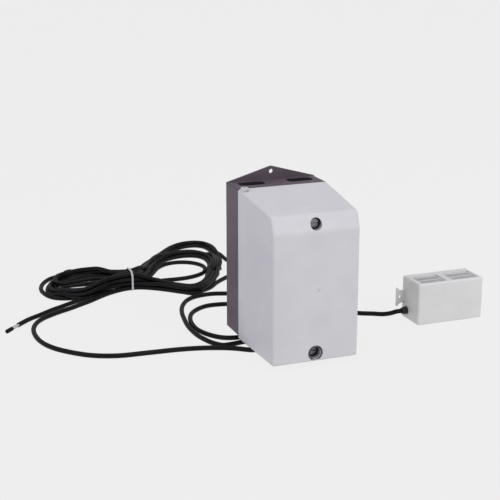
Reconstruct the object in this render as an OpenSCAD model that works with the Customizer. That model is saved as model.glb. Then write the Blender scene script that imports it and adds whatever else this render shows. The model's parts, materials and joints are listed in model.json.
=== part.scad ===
// Wall mounted actuator head with a hinged cover, a geared output hub
// that faces the wall, a supply lead and a remote vented sensor.
// X runs to the right, Y into the wall, Z up. The standing surface is z = 0.

/* [Housing] */
// Width of the housing over its side walls
body_w = 125; // [122:1:130]
// Height of the front cover
cover_h = 204; // [202:1:210]
// Depth of the front cover, from its face to the joint with the rear housing
cover_d = 110; // [106:1:114]
// Depth of the rear housing
rear_d = 44; // [43:1:48]
// Wall thickness of the front cover
cover_wall = 2.5; // [2:0.1:2.6]
// Wall thickness of the rear housing
rear_wall = 3; // [2.5:0.1:3]
// Draft of each side wall of the cover, over its whole depth
cover_draft = 4; // [3:0.5:4.5]
// Gap between the cover's rim and the rear housing
joint_gap = 0.3; // [0.3:0.1:0.5]
// Height of the cable sill under the cover
sill_h = 6.3; // [6:0.1:6.4]
// Diameter of the keyhole in the upper ear
ear_hole_d = 6; // [5:0.5:7]

/* [Cover screws] */
// Diameter of the recesses that hold the cover screws
recess_d = 15.5; // [15:0.5:17]
// Diameter of a cover screw's head
head_d = 11.4; // [10:0.2:13]
// Height of the upper cover screw
upper_screw_z = 185; // [184:0.5:186]
// Height of the lower cover screw
lower_screw_z = 18; // [18:0.5:19]

/* [Drive] */
// Bore of the output hub
output_bore_d = 12; // [10:0.5:14]
// Height of the output axis
output_z = 92; // [90:1:94]
// Module of the output stage
output_module = 1.25; // [1.2:0.05:1.25]
// Teeth of the output gear
output_teeth = 60; // [60]
// Teeth of every pinion
pinion_teeth = 15; // [15]
// Teeth of the two intermediate wheels
wheel_teeth = 45; // [45]
// Diameter of the motor
motor_d = 42; // [38:1:44]

/* [Remote sensor] */
// Width of the sensor case
sensor_w = 102; // [98:1:106]
// Depth of the sensor case with its back plate
sensor_d = 46; // [44:1:48]
// Height of the sensor case
sensor_h = 60; // [58:1:62]

/* [Cords] */
// Diameter of both cords
cord_d = 6.6; // [6:0.1:6.6]

/* [Hidden] */
$fn = 48;
eps = 0.01;

// Main planes of the housing
joint_y = 40;
back_y = joint_y + rear_d;
face_y = joint_y - cover_d;
half_w = body_w / 2;
cover_z = 7;
top_z = cover_z + cover_h;
rear_z = 11;
ear_z = top_z + 10.5;
ear_r = 7;
// The cover's roof falls to the front, then turns down over a short steep band
roof_y = face_y + 9;
roof_z = top_z - 14;
band_z = top_z - 35;
cover_edge_r = 3;

// Hinge of the cover: a gooseneck arm keeps clear of the cover's swinging rim
hinge_x = -56;
hinge_y = 33;
pin_r = 1.5;
knuckle_r = 3.4;
arm_z = [197, 17.2];
arm_h = 5.8;
lug_r = 5;
running_gap = 0.05;

// Cover screws and the posts that they lock into
screw_z = [upper_screw_z, lower_screw_z];
recess_y = -54;
boss_floor = 3;
shank_r = 2.5;
lug_y = -41;
post_y = -44.6;
post_r = 7;

// Chassis
front_plate_y = 38;
rear_plate_y = 68;
plate_t = 2;
plate_x = 45;
pillar_x = 38;
pillar_z = [52, 160];
boss_z = [34, 168];

// Gear centres in the XZ plane; each mesh runs along its own line of centres
output_c = [0, output_z];
mid_module = 1;
fast_module = 0.8;
mesh_a3 = 55;
mesh_a2 = 120;
mesh_a1 = 190;
dist_3 = output_module * (output_teeth + pinion_teeth) / 2;
dist_2 = mid_module * (wheel_teeth + pinion_teeth) / 2;
dist_1 = fast_module * (wheel_teeth + pinion_teeth) / 2;
stage3_c = output_c + dist_3 * [cos(mesh_a3), sin(mesh_a3)];
stage2_c = stage3_c + dist_2 * [cos(mesh_a2), sin(mesh_a2)];
motor_c = stage2_c + dist_1 * [cos(mesh_a1), sin(mesh_a1)];
arbor_r = 2;
hub_r = 13;
journal_r = 5;
rotor_shaft_r = 1.5;
// Teeth: addendum and dedendum in modules, backlash as a share of the pitch
addendum = 0.85;
dedendum = 1.2;
backlash = 0.06;
pressure_a = 20;

// Circuit board, in front of the chassis
board_x = 46;
board_z = [30, 120];
board_y = -12;
board_t = 1.6;
standoff_x = 41;
standoff_z = [35, 115];

// Limit switches beside the cams
cam_r = 12;
switch_x = 20;
lever_x = 16.6;
lever_pivot_z = output_z - 9;

// Remote sensor
sensor_x = 194;
sensor_y = 17;
sensor_case_d = sensor_d - 6;
gland_x = sensor_x - 8;
gland_y = 50;
gland_z = 13;
vents = [[201, 240], [249, 290]];

// Routes of the cords: points on their centre lines
cord_r = cord_d / 2;
floor_z = cord_r + 0.1;
relief_x = -46;
supply_exit = [relief_x, 4, 3.5];
sensor_exit = [relief_x, 38, 3.5];
supply_route = [
    supply_exit, [-57, 5, floor_z], [-69, 14, floor_z], [-83, 23, floor_z],
    [-99, 30, floor_z], [-120, 36.5, floor_z], [-145, 41, floor_z],
    [-184, 44, floor_z], [-226, 48, floor_z], [-256, 61, floor_z],
    [-279, 82, floor_z], [-296, 105, floor_z], [-306, 131, floor_z],
    [-309, 160, floor_z], [-306, 188, floor_z], [-298, 209, floor_z],
    [-285, 226, floor_z], [-262, 243, floor_z], [-240, 256, floor_z],
    [-222, 269, floor_z], [-205, 279, floor_z]
];
tail_route = [
    [-228, 282, floor_z], [-240, 275.5, floor_z], [-254, 268, floor_z],
    [-267, 260, floor_z], [-284, 248, floor_z], [-305, 230.5, floor_z],
    [-323, 211, floor_z]
];
sensor_route = [
    sensor_exit, [-60, 37, floor_z], [-74, 35, floor_z], [-86, 35.5, floor_z],
    [-97, 47, floor_z], [-103, 60, floor_z], [-106, 78, floor_z],
    [-107, 100, floor_z], [-107, 125, floor_z], [-102, 153, floor_z],
    [-95, 182, floor_z], [-86, 207, floor_z], [-73, 228, floor_z],
    [-59, 240, floor_z], [-44, 245, floor_z], [-28, 246, floor_z],
    [-10, 241, floor_z], [14, 231, floor_z], [36, 212, floor_z],
    [49, 186, floor_z], [51, 157, floor_z], [42, 128, floor_z],
    [24, 105, floor_z], [2, 86, floor_z], [-20, 69, floor_z],
    [-40, 58, floor_z], [-58, 54, floor_z], [-75, 57, floor_z],
    [-87, 67, floor_z], [-95, 82, floor_z], [-98, 100, floor_z],
    [-98, 122, floor_z], [-94, 147, floor_z], [-84, 171, floor_z],
    [-69, 187, floor_z], [-51, 196, floor_z], [-30, 195, floor_z],
    [-6, 187, 3.6], [16, 177, 6.2], [36, 165, 9.8], [51, 155, 10.6],
    [68, 145, 8.6], [90, 128, 4.6], [116, 104, floor_z], [140, 86, floor_z],
    [156, 78, floor_z], [167, 69, 4.2], [174, 59, 8], [179, 52, 12],
    [gland_x, gland_y, gland_z]
];

// Hank of the supply lead: two lobes lying flat, drawn in by a tie
hank_right = [-34, 377];
hank_right_r = [138, 68];
hank_right_a = 60;
hank_left = [-200, 342];
hank_left_r = [68, 50];
hank_left_a = 80;
hank_right_h = 18;
hank_left_h = 22;
waist_x = [-160, -105];
waist_y = [311, 339];
waist_h = 29.2;
tie_x = -133;
tie_w = 4;
tie_t = 1.2;

// ---- helper shapes and functions ----
function arc(cx, cy, r, a0, a1, n = 5) =
    [for (i = [0:n]) let (a = a0 + (a1 - a0) * i / n) [cx + r * cos(a), cy + r * sin(a)]];
function round_box(x0, y0, x1, y1, r) = concat(
    arc(x1 - r, y0 + r, r, -90, 0), arc(x1 - r, y1 - r, r, 0, 90),
    arc(x0 + r, y1 - r, r, 90, 180), arc(x0 + r, y0 + r, r, 180, 270));
function ellipse(c, r, n = 36) =
    [for (i = [0:n - 1]) [c[0] + r[0] * cos(360 * i / n), c[1] + r[1] * sin(360 * i / n)]];

// Half the angle of an involute tooth at radius r
function inv(a) = tan(a) * 180 / PI - a;
function half_tooth(z, m, r) = let (
    rb = m * z / 2 * cos(pressure_a),
    a = acos(min(1, rb / max(r, rb))))
    90 / z * (1 - 2 * backlash) + inv(pressure_a) - inv(a);
function tooth_side(z, m, s) = let (
    rp = m * z / 2, r0 = rp - dedendum * m, r1 = rp + addendum * m,
    rb = rp * cos(pressure_a), rs = [r0, max(r0 + 0.05, rb), rp, (rp + r1) / 2, r1])
    [for (i = [0:4]) let (k = s < 0 ? i : 4 - i) [rs[k], s * half_tooth(z, m, rs[k])]];
function gear_outline(z, m) = [
    for (t = [0:z - 1]) for (s = [-1, 1]) for (p = tooth_side(z, m, s))
        p[0] * [cos(360 * t / z + p[1]), sin(360 * t / z + p[1])]];

// An outline in the XZ plane, extruded from y0 to y1
module along_y(y0, y1) {
    translate([0, y1, 0]) rotate([90, 0, 0]) linear_extrude(y1 - y0) children();
}
// An outline in the YZ plane, extruded from x0 to x1
module along_x(x0, x1) {
    translate([x0, 0, 0]) rotate([90, 0, 90]) linear_extrude(x1 - x0) children();
}
module rod_y(x, z, r, y0, y1) {
    translate([x, y1, z]) rotate([90, 0, 0]) cylinder(r = r, h = y1 - y0);
}
module rod_x(y, z, r, x0, x1) {
    translate([x0, y, z]) rotate([0, 90, 0]) cylinder(r = r, h = x1 - x0);
}
module rod_z(x, y, r, z0, z1) {
    translate([x, y, z0]) cylinder(r = r, h = z1 - z0);
}
module block(x0, y0, z0, x1, y1, z1) {
    translate([x0, y0, z0]) cube([x1 - x0, y1 - y0, z1 - z0]);
}
// A gear about a centre in the XZ plane, with a tooth or a gap on its mesh line
module gear(c, z, m, a, gap, y0, y1) {
    translate([c[0], 0, c[1]]) along_y(y0, y1)
        rotate(a + (gap ? 180 / z : 0)) polygon(gear_outline(z, m));
}

// A tube swept along a route, its rings square to the path
function unit(v) = v / norm(v);
function route_dir(p, i) = unit(p[min(i + 1, len(p) - 1)] - p[max(i - 1, 0)]);
function ring_at(p, i, r, n) = let (
    d = route_dir(p, i), u = unit(cross([0, 0, 1], d)), w = cross(d, u))
    [for (k = [0:n - 1]) p[i] + r * (cos(360 * (k + 0.5) / n) * u + sin(360 * (k + 0.5) / n) * w)];
module tube(p, r, n = 8) {
    m = len(p);
    rings = [for (i = [0:m - 1]) for (q = ring_at(p, i, r, n)) q];
    sides = [for (i = [0:m - 2]) for (k = [0:n - 1]) let (
        a = i * n + k, b = i * n + (k + 1) % n) each [[a, b, b + n], [a, b + n, a + n]]];
    ends = [[for (k = [n - 1:-1:0]) k], [for (k = [0:n - 1]) (m - 1) * n + k]];
    polyhedron(points = rings, faces = concat([for (f = sides) [f[2], f[1], f[0]]],
        [for (f = ends) [for (k = [len(f) - 1:-1:0]) f[k]]]), convexity = 8);
}

// ---- housing ----
module ear_outline() {
    a = acos(ear_r / norm([half_w, ear_z - top_z])) - atan2(ear_z - top_z, half_w);
    polygon(concat([[-half_w, top_z - 5], [half_w, top_z - 5], [half_w, top_z]],
        arc(0, ear_z, ear_r, a, 180 - a, 8), [[-half_w, top_z]]));
}
module entry_outline(inset) {
    for (s = [-1, 1]) translate([s * 34, 66]) polygon(round_box(-18 + inset, -11 + inset,
        18 - inset, 11 - inset, 8.4 - inset));
}
module hinge_arm(i) {
    z0 = arm_z[i];
    z1 = z0 + arm_h;
    root_z = i == 0 ? [z0, top_z - rear_wall + 0.5] : [rear_z + rear_wall - 0.5, z1];
    difference() {
        union() {
            rod_z(hinge_x, hinge_y, knuckle_r, z0, z1);
            block(hinge_x, hinge_y - 3.2, z0, -40, hinge_y + 1.4, z1);
            block(-46, hinge_y - 3.2, z0, -40, 58, z1);
            block(-46, 47, root_z[0], -40, 53.4, root_z[1]);
        }
        rod_z(hinge_x, hinge_y, pin_r, z0 - 1, z1 + 1);
    }
}
module cable_sill() color("#554b58") {
    difference() {
        union() {
            linear_extrude(sill_h) polygon(round_box(-44.5, -42, 44.5, 46, 6));
            block(-44.5, joint_y + 0.4, 0, 44.5, 46, rear_z);
        }
        for (e = [supply_exit, sensor_exit])
            block(-60, e[1] - 3.8, -1, -21, e[1] + 3.8, sill_h + 1);
    }
}
// The side walls of the housing, with the oblong entries and the hinge arms
module housing_walls() color("#554b58") {
    difference() {
        along_y(joint_y, back_y - rear_wall)
            polygon(round_box(-half_w, rear_z, half_w, top_z, 2.5));
        along_y(joint_y - 1, back_y - rear_wall + 1)
            polygon(round_box(-half_w + rear_wall, rear_z + rear_wall,
                half_w - rear_wall, top_z - rear_wall, 1.5));
        // The rim falls away where the cover's edge swings past
        translate([0, 0, rear_z - 1]) linear_extrude(top_z - rear_z + 2)
            polygon([[-half_w - eps, joint_y - 1], [-half_w - eps, joint_y],
                [-half_w + rear_wall - 0.5, joint_y + 2.5],
                [-51.5, joint_y + 2.5], [-50, joint_y - 1]]);
        translate([0, 0, top_z - rear_wall - 1]) linear_extrude(rear_wall + 2)
            entry_outline(0);
    }
    for (i = [0, 1]) hinge_arm(i);
}
// The back of the housing, with the ear, the fixing holes and the chassis bosses
module rear_housing() color("#554b58") {
    difference() {
        union() {
            along_y(back_y - rear_wall, back_y)
                polygon(round_box(-half_w, rear_z, half_w, top_z, 2.5));
            along_y(back_y - rear_wall, back_y) ear_outline();
            for (x = [-pillar_x, pillar_x], z = boss_z)
                rod_y(x, z, 5, rear_plate_y + plate_t, back_y - rear_wall + 0.5);
        }
        rod_y(0, ear_z, ear_hole_d / 2, back_y - rear_wall - 1, back_y + 1);
        for (x = [-48, 48]) rod_y(x, 24, 2.5, back_y - rear_wall - 1, back_y + 1);
        rod_y(0, output_z, hub_r + 3, back_y - rear_wall - 1, back_y + 1);
        for (x = [-pillar_x, pillar_x], z = boss_z)
            rod_y(x, z, 1.5, rear_plate_y + plate_t - 1, back_y - rear_wall - 2);
    }
}

module cover_profile(inset) {
    offset(r = cover_edge_r - min(inset, 2)) offset(delta = -cover_edge_r + min(inset, 2) - inset)
        polygon([[face_y, cover_z], [joint_y + 30, cover_z],
            [joint_y + 30, top_z + 30 * 14 / (joint_y - roof_y)],
            [roof_y, roof_z], [face_y, band_z]]);
}
module cover_plan(inset) {
    slope = cover_draft / cover_d;
    offset(r = cover_edge_r - min(inset, 2)) offset(delta = -cover_edge_r + min(inset, 2) - inset)
        polygon([[-half_w + cover_draft, face_y], [half_w - cover_draft, face_y],
            [half_w + 30 * slope, joint_y + 30], [-half_w - 30 * slope, joint_y + 30]]);
}
module cover_form(inset, end_y) {
    intersection() {
        along_x(-half_w - 5, half_w + 5) cover_profile(inset);
        linear_extrude(top_z + 20) cover_plan(inset);
        block(-half_w - 5, face_y - 1, 0, half_w + 5, end_y, top_z + 20);
    }
}
module front_cover() color("#cdced3") {
    difference() {
        union() {
            difference() {
                cover_form(0, joint_y - joint_gap);
                cover_form(cover_wall, joint_y + 5);
            }
            intersection() {
                cover_form(0.5, 0);
                for (z = screw_z)
                    rod_y(0, z, recess_d / 2 + 2.4, face_y, recess_y + boss_floor);
            }
            rod_z(hinge_x, hinge_y, lug_r, arm_z[0] + arm_h + 1, top_z + 3);
            rod_z(hinge_x, hinge_y, lug_r, cover_z, cover_z + 6);
        }
        for (z = screw_z) {
            rod_y(0, z, recess_d / 2, face_y - 1, recess_y);
            rod_y(0, z, shank_r + running_gap, recess_y - 1, recess_y + boss_floor + 1);
        }
        rod_z(hinge_x, hinge_y, pin_r + running_gap, cover_z - 1, cover_z + 7);
        rod_z(hinge_x, hinge_y, pin_r + running_gap, arm_z[0] + arm_h, top_z + 4);
        // Gate mark in the middle of the face
        rod_y(3, 101, 2, face_y - 1, face_y + 0.3);
    }
}
module cover_seal() color("#2b2a2c") {
    x = half_w - rear_wall;
    z0 = rear_z + rear_wall;
    z1 = top_z - rear_wall;
    along_y(joint_y + 3.2, joint_y + 5.2) difference() {
        polygon(round_box(-x, z0, x, z1, 1.5));
        polygon(round_box(-x + 2, z0 + 2, x - 2, z1 - 2, 1));
    }
}
module hinge_pins() color("#8c8e92") {
    rod_z(hinge_x, hinge_y, pin_r, arm_z[0], top_z);
    rod_z(hinge_x, hinge_y, pin_r, cover_z + 0.3, arm_z[1] + arm_h);
}
module entry_plugs() color("#161517") {
    translate([0, 0, top_z - 2.4]) linear_extrude(1.2) entry_outline(0);
    translate([0, 0, top_z - rear_wall - 1.6]) linear_extrude(1.6) entry_outline(-1.3);
    translate([0, 0, top_z - rear_wall]) linear_extrude(0.8) entry_outline(0);
}

// ---- cover screws ----
module cover_screw(z) color("#a6a8ab") {
    difference() {
        union() {
            rod_y(0, z, head_d / 2, recess_y - 6, recess_y - 0.3);
            rod_y(0, z, shank_r, recess_y - 1, lug_y);
            block(-4.5, lug_y - 3, z - 1.8, 4.5, lug_y, z + 1.8);
        }
        block(-head_d, recess_y - 7, z - 0.8, head_d, recess_y - 4.2, z + 0.8);
    }
}
module screw_clip(z) color("#6c6e72") {
    difference() {
        rod_y(0, z, 4.4, recess_y + boss_floor + 0.5, recess_y + boss_floor + 1.3);
        rod_y(0, z, shank_r, recess_y + boss_floor, recess_y + boss_floor + 2);
    }
}
module cover_posts() color("#b4b6b8") {
    for (z = screw_z) difference() {
        rod_y(0, z, post_r, post_y, front_plate_y);
        rod_y(0, z, 5.4, post_y - 1, lug_y + 0.8);
    }
}

// ---- chassis ----
module chassis_plate(y, z0, z1, holes) {
    difference() {
        along_y(y, y + plate_t) polygon(round_box(-plate_x, z0, plate_x, z1, 4));
        for (h = holes) rod_y(h[0], h[1], h[2], y - 1, y + plate_t + 1);
    }
}
module chassis_rear_plate() color("#b9bcc0") {
    chassis_plate(rear_plate_y, 26, 176, concat(
        [[0, output_z, hub_r + 3], [stage2_c[0], stage2_c[1], arbor_r],
            [stage3_c[0], stage3_c[1], arbor_r]],
        [for (x = [-pillar_x, pillar_x], z = boss_z) [x, z, 1.6]],
        [for (x = [-pillar_x, pillar_x], z = pillar_z) [x, z, 1.6]]));
}
module chassis_front_plate() color("#b9bcc0") {
    chassis_plate(front_plate_y, 25.5, 194, concat(
        [[0, output_z, journal_r + 3], [stage2_c[0], stage2_c[1], arbor_r],
            [stage3_c[0], stage3_c[1], arbor_r], [motor_c[0], motor_c[1], 8]],
        [for (x = [-pillar_x, pillar_x], z = pillar_z) [x, z, 1.6]]));
    block(-9, front_plate_y, 10.8, 9, front_plate_y + plate_t, 26);
}
module chassis_pillars() color("#c0a860") {
    for (x = [-pillar_x, pillar_x], z = pillar_z) difference() {
        rod_y(x, z, 4, front_plate_y + plate_t, rear_plate_y);
        rod_y(x, z, 1.5, front_plate_y + plate_t - 1, front_plate_y + plate_t + 9);
        rod_y(x, z, 1.5, rear_plate_y - 9, rear_plate_y + 1);
    }
}
module pan_screw(x, z, y, dir, len) {
    y_head = dir > 0 ? y : y - 2;
    difference() {
        union() {
            rod_y(x, z, 3, y_head, y_head + 2);
            rod_y(x, z, 1.5, min(y, y - dir * len), max(y, y - dir * len));
        }
        block(x - 2, dir > 0 ? y + 1.2 : y - 3, z - 0.4, x + 2, dir > 0 ? y + 3 : y - 1.2, z + 0.4);
        block(x - 0.4, dir > 0 ? y + 1.2 : y - 3, z - 2, x + 0.4, dir > 0 ? y + 3 : y - 1.2, z + 2);
    }
}
module chassis_screws() color("#9b9da1") {
    for (x = [-pillar_x, pillar_x]) {
        for (z = boss_z) pan_screw(x, z, rear_plate_y, -1, 9);
        for (z = pillar_z) {
            pan_screw(x, z, front_plate_y, -1, 9);
            pan_screw(x, z, rear_plate_y + plate_t, 1, 9);
        }
    }
}

// ---- motor and gears ----
module motor_can() color("#9fa3a8") {
    difference() {
        rod_y(motor_c[0], motor_c[1], motor_d / 2, 2, front_plate_y);
        rod_y(motor_c[0], motor_c[1], motor_d / 2 - 2.5, 1, front_plate_y - 4);
        rod_y(motor_c[0], motor_c[1], rotor_shaft_r + running_gap, front_plate_y - 5, front_plate_y + 1);
    }
}
module motor_end_cap() color("#2f3033") {
    difference() {
        union() {
            rod_y(motor_c[0], motor_c[1], motor_d / 2, 0, 2);
            rod_y(motor_c[0], motor_c[1], motor_d / 2 - 2.5, 2 - eps, 5);
        }
        rod_y(motor_c[0], motor_c[1], rotor_shaft_r + running_gap, 2, 6);
        for (s = [-1, 1]) rod_y(motor_c[0] + s * 4, motor_c[1] - 15, 1.2, -1, 6);
    }
}
module motor_rotor() color("#7d7f84") {
    rod_y(motor_c[0], motor_c[1], rotor_shaft_r, 2.4, 42);
    rod_y(motor_c[0], motor_c[1], 12, 8, 30);
    gear(motor_c, pinion_teeth, fast_module, mesh_a1 + 180, true, 41.5, 48);
}
module compound_gear(c, wheel_m, wheel_a, wheel_y, pin_m, pin_a, pin_y) {
    difference() {
        union() {
            gear(c, wheel_teeth, wheel_m, wheel_a, false, wheel_y[0], wheel_y[1]);
            gear(c, pinion_teeth, pin_m, pin_a + 180, true, pin_y[0], pin_y[1]);
        }
        rod_y(c[0], c[1], arbor_r + running_gap, wheel_y[0] - 5, pin_y[1] + 5);
    }
}
module gear_stage_2() color("#e8e4d6") {
    compound_gear(stage2_c, fast_module, mesh_a1, [43, 46.5], mid_module, mesh_a2, [46.5, 55]);
}
module gear_stage_3() color("#e8e4d6") {
    compound_gear(stage3_c, mid_module, mesh_a2, [49, 54], output_module, mesh_a3, [54, 67]);
}
module output_gear() color("#c9a24a") {
    difference() {
        union() {
            gear(output_c, output_teeth, output_module, mesh_a3, false, 58, 66);
            rod_y(0, output_z, hub_r, 65, back_y - 0.4);
            rod_y(0, output_z, journal_r, 24, 59);
        }
        rod_y(0, output_z, output_bore_d / 2, back_y - 22, back_y + 1);
        for (i = [0:4]) translate([0, 0, output_z]) rotate([0, 72 * i + 20, 0])
            rod_y(24, 0, 6, 57, 67);
    }
}
module gear_arbors() color("#8f9195") {
    for (c = [stage2_c, stage3_c]) rod_y(c[0], c[1], arbor_r, front_plate_y, rear_plate_y + plate_t);
}
module ring_y(c, r0, r1, y0, y1) {
    difference() {
        rod_y(c[0], c[1], r1, y0, y1);
        rod_y(c[0], c[1], r0, y0 - 1, y1 + 1);
    }
}
module output_bush_rear() color("#b0833d") {
    ring_y(output_c, hub_r + running_gap, hub_r + 3, rear_plate_y, back_y);
}
module output_bush_front() color("#b0833d") {
    ring_y(output_c, journal_r + running_gap, journal_r + 3, front_plate_y - 1, front_plate_y + 3);
}

// ---- limit switches ----
module cam(y, a) {
    difference() {
        union() {
            rod_y(0, output_z, cam_r, y, y + 3);
            translate([0, 0, output_z]) rotate([0, -a, 0]) translate([cam_r - 1, y, -2])
                cube([3, 3, 4]);
        }
        rod_y(0, output_z, journal_r, y - 1, y + 4);
    }
}
module limit_cams() color("#d9d4c4") {
    cam(31, 115);
    cam(27, 155);
}
module limit_switch(s, y) {
    union() {
        block(min(s * switch_x, s * (switch_x + 10)), y - 1, output_z - 4,
            max(s * switch_x, s * (switch_x + 10)), front_plate_y, output_z + 16);
        // Lug and pivot pin of the lever
        block(min(s * (lever_x + 2.2), s * (switch_x + 10)), y + 3.3, output_z - 12,
            max(s * (lever_x + 2.2), s * (switch_x + 10)), front_plate_y, output_z - 4 + eps);
        block(min(s * (lever_x - 1.2), s * (lever_x + 2.3)), y + 3.3, output_z - 12,
            max(s * (lever_x - 1.2), s * (lever_x + 2.3)), y + 5.3, output_z - 6.5);
        rod_y(s * lever_x, lever_pivot_z, 0.8, y + 0.2, y + 4);
    }
}
module limit_lever(s, y) {
    difference() {
        union() {
            block(min(s * (lever_x - 0.5), s * (lever_x + 0.5)), y + 0.2, lever_pivot_z,
                max(s * (lever_x - 0.5), s * (lever_x + 0.5)), y + 2.9, output_z + 14);
            rod_y(s * lever_x, lever_pivot_z, 1.9, y + 0.2, y + 2.9);
            rod_y(s * (cam_r + 2.4), output_z + 0.5, 2, y + 0.2, y + 2.9);
        }
        rod_y(s * lever_x, lever_pivot_z, 0.85, y - 1, y + 4);
    }
}
module open_limit_switch() color("#1f2023") limit_switch(1, 31);
module closed_limit_switch() color("#1f2023") limit_switch(-1, 27);
module open_limit_lever() color("#c8cacd") limit_lever(1, 31);
module closed_limit_lever() color("#c8cacd") limit_lever(-1, 27);

// ---- circuit board ----
module circuit_board() color("#2f6b46") {
    difference() {
        along_y(board_y, board_y + board_t)
            polygon(round_box(-board_x, board_z[0], board_x, board_z[1], 2));
        for (x = [-standoff_x, standoff_x], z = standoff_z)
            rod_y(x, z, 1.6, board_y - 1, board_y + board_t + 1);
    }
}
module board_standoffs() color("#c0a860") {
    for (x = [-standoff_x, standoff_x], z = standoff_z) difference() {
        rod_y(x, z, 3, board_y + board_t, front_plate_y);
        rod_y(x, z, 1.5, board_y, board_y + board_t + 9);
    }
}
module board_screws() color("#9b9da1") {
    for (x = [-standoff_x, standoff_x], z = standoff_z) pan_screw(x, z, board_y, -1, 8);
}
module terminal_block() color("#3c7a55") {
    difference() {
        block(-36, board_y - 14, 32, 28, board_y, 45);
        for (i = [0:7]) {
            rod_y(-32 + 8 * i, 40, 2.4, board_y - 15, board_y - 6);
            block(-34.5 + 8 * i, board_y - 11, 31, -29.5 + 8 * i, board_y - 5, 36);
        }
    }
}
module terminal_screws() color("#b9bcc0") {
    for (i = [0:7]) difference() {
        rod_y(-32 + 8 * i, 40, 2.2, board_y - 11, board_y - 6);
        block(-35 + 8 * i, board_y - 12, 39.6, -29 + 8 * i, board_y - 10, 40.4);
    }
}
module transformer_core() color("#55585c") {
    difference() {
        block(-38, board_y - 32, 76, 2, board_y - 2, 112);
        for (x = [-31, -11]) block(x, board_y - 33, 83, x + 6, board_y - 1, 105);
    }
}
module transformer_coil() color("#b88a3c") {
    difference() {
        block(-30.6, board_y - 34, 83.4, -5.4, board_y, 104.6);
        block(-25, board_y - 35, 82, -11, board_y + 1, 106);
    }
}
module relays() color("#2457a0") {
    for (z = [78, 97]) block(12, board_y - 16, z, 32, board_y, z + 15.5);
}
module capacitor() color("#27292d") {
    rod_y(18, 62, 8, board_y - 26, board_y);
}
module fuse_holder() color("#1c1d20") {
    difference() {
        block(-34, board_y - 9, 58, -8, board_y, 67);
        block(-31, board_y - 10, 60, -11, board_y - 2, 65);
    }
}
module fuse() color("#d8dde0") {
    rod_x(board_y - 6.5, 62.5, 2.4, -30.9, -11.1);
}
module motor_leads() color("#8b1f1f") {
    for (s = [-1, 1]) {
        x = motor_c[0] + s * 4;
        tube([[x, 2, motor_c[1] - 15], [x, -3, motor_c[1] - 16], [x + s, -8, motor_c[1] - 20],
            [x + s * 2, -14, motor_c[1] - 26], [x + s * 2, -18, motor_c[1] - 31],
            [x + s * 2, -17.5, motor_c[1] - 35], [x + s * 2, -12.05, motor_c[1] - 35.4]], 0.85, 8);
    }
}

// ---- cord outlets ----
module relief(e) {
    intersection() {
        translate(e) rotate([0, 90, 0]) cylinder(r1 = cord_r + 0.12, r2 = 3.6, h = 21.5);
        block(relief_x, e[1] - 4, 0.15, relief_x + 22, e[1] + 4, 6.65);
    }
    block(relief_x + 21, e[1] - 3.7, 0.1, relief_x + 24.9, e[1] + 3.7, sill_h - 0.1);
}
module supply_relief() color("#1d1c1f") relief(supply_exit);
module sensor_relief() color("#1d1c1f") relief(sensor_exit);

// ---- remote sensor ----
module sensor_case() color("#cfd0d2") {
    x1 = sensor_x + sensor_w;
    y1 = sensor_y + sensor_case_d;
    difference() {
        intersection() {
            along_y(sensor_y, y1) polygon(round_box(sensor_x, 0, x1, sensor_h, 3));
            linear_extrude(sensor_h)
                polygon(concat([[sensor_x, y1]], arc(sensor_x + 4, sensor_y + 4, 4, 180, 270),
                    arc(x1 - 4, sensor_y + 4, 4, 270, 360), [[x1, y1]]));
        }
        block(sensor_x + 2, sensor_y + 2, 2, x1 - 2, y1 + 1, sensor_h - 3.5);
        for (v = vents)
            block(v[0], sensor_y + 4, sensor_h - 4, v[1], y1 - 5, sensor_h + 1);
        rod_x(gland_y, gland_z, 4, sensor_x - 1, sensor_x + 3);
        for (v = [[200, 222], [226, 242], [254, 274]])
            block(v[0], sensor_y - 1, -1, v[1], sensor_y + 1.4, 1.1);
    }
}
module sensor_back() color("#c6c7ca") {
    x1 = sensor_x + sensor_w;
    y0 = sensor_y + sensor_case_d;
    y1 = sensor_y + sensor_d;
    difference() {
        union() {
            along_y(y0, y1) polygon(round_box(sensor_x, 0, x1, sensor_h, 3));
            along_y(y1 - 5, y1 - 2) difference() {
                block_2d(182, 18, sensor_x + 1, 44);
                translate([190, 46.5]) circle(r = 6.5);
                translate([190, 15.5]) circle(r = 6.5);
            }
            for (x = [220, 278]) rod_y(x, 28, 3.4, sensor_y + 25.65, y0 + 1);
        }
        for (x = [220, 278]) rod_y(x, 28, 1.65, sensor_y + 25, y1 - 1.4);
        difference() {
            block(sensor_x + 3, y0 - 1, 3, x1 - 3, y1 - 2, sensor_h - 4.5);
            for (x = [220, 278]) rod_y(x, 28, 3.4, y0 - 2, y1);
        }
        rod_y(187.5, 31, 2.2, y1 - 6, y1);
        rod_y(x1 - 8, 31, 2.2, y1 - 3, y1 + 1);
    }
}
module block_2d(x0, y0, x1, y1) {
    translate([x0, y0]) square([x1 - x0, y1 - y0]);
}
module sensor_grilles() color("#b9babd") {
    y0 = sensor_y + 4;
    y1 = sensor_y + sensor_case_d - 5;
    for (v = vents) {
        pitch = (v[1] - v[0]) / 13;
        difference() {
            block(v[0], y0, sensor_h - 3, v[1], y1, sensor_h - 1.6);
            for (i = [1:12]) for (h = [0, 1])
                block(v[0] + i * pitch - 0.8, y0 + 2 + h * (y1 - y0 - 2) / 2, sensor_h - 4,
                    v[0] + i * pitch + 0.8, y0 + (1 + h) * (y1 - y0 - 2) / 2, sensor_h);
        }
    }
}
module sensor_gland() color("#151417") {
    rod_x(gland_y, gland_z, 5.5, gland_x + 3, sensor_x);
    rod_x(gland_y, gland_z, 4.5, gland_x, gland_x + 3);
    rod_x(gland_y, gland_z, 4, sensor_x - eps, sensor_x + 8);
}
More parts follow.
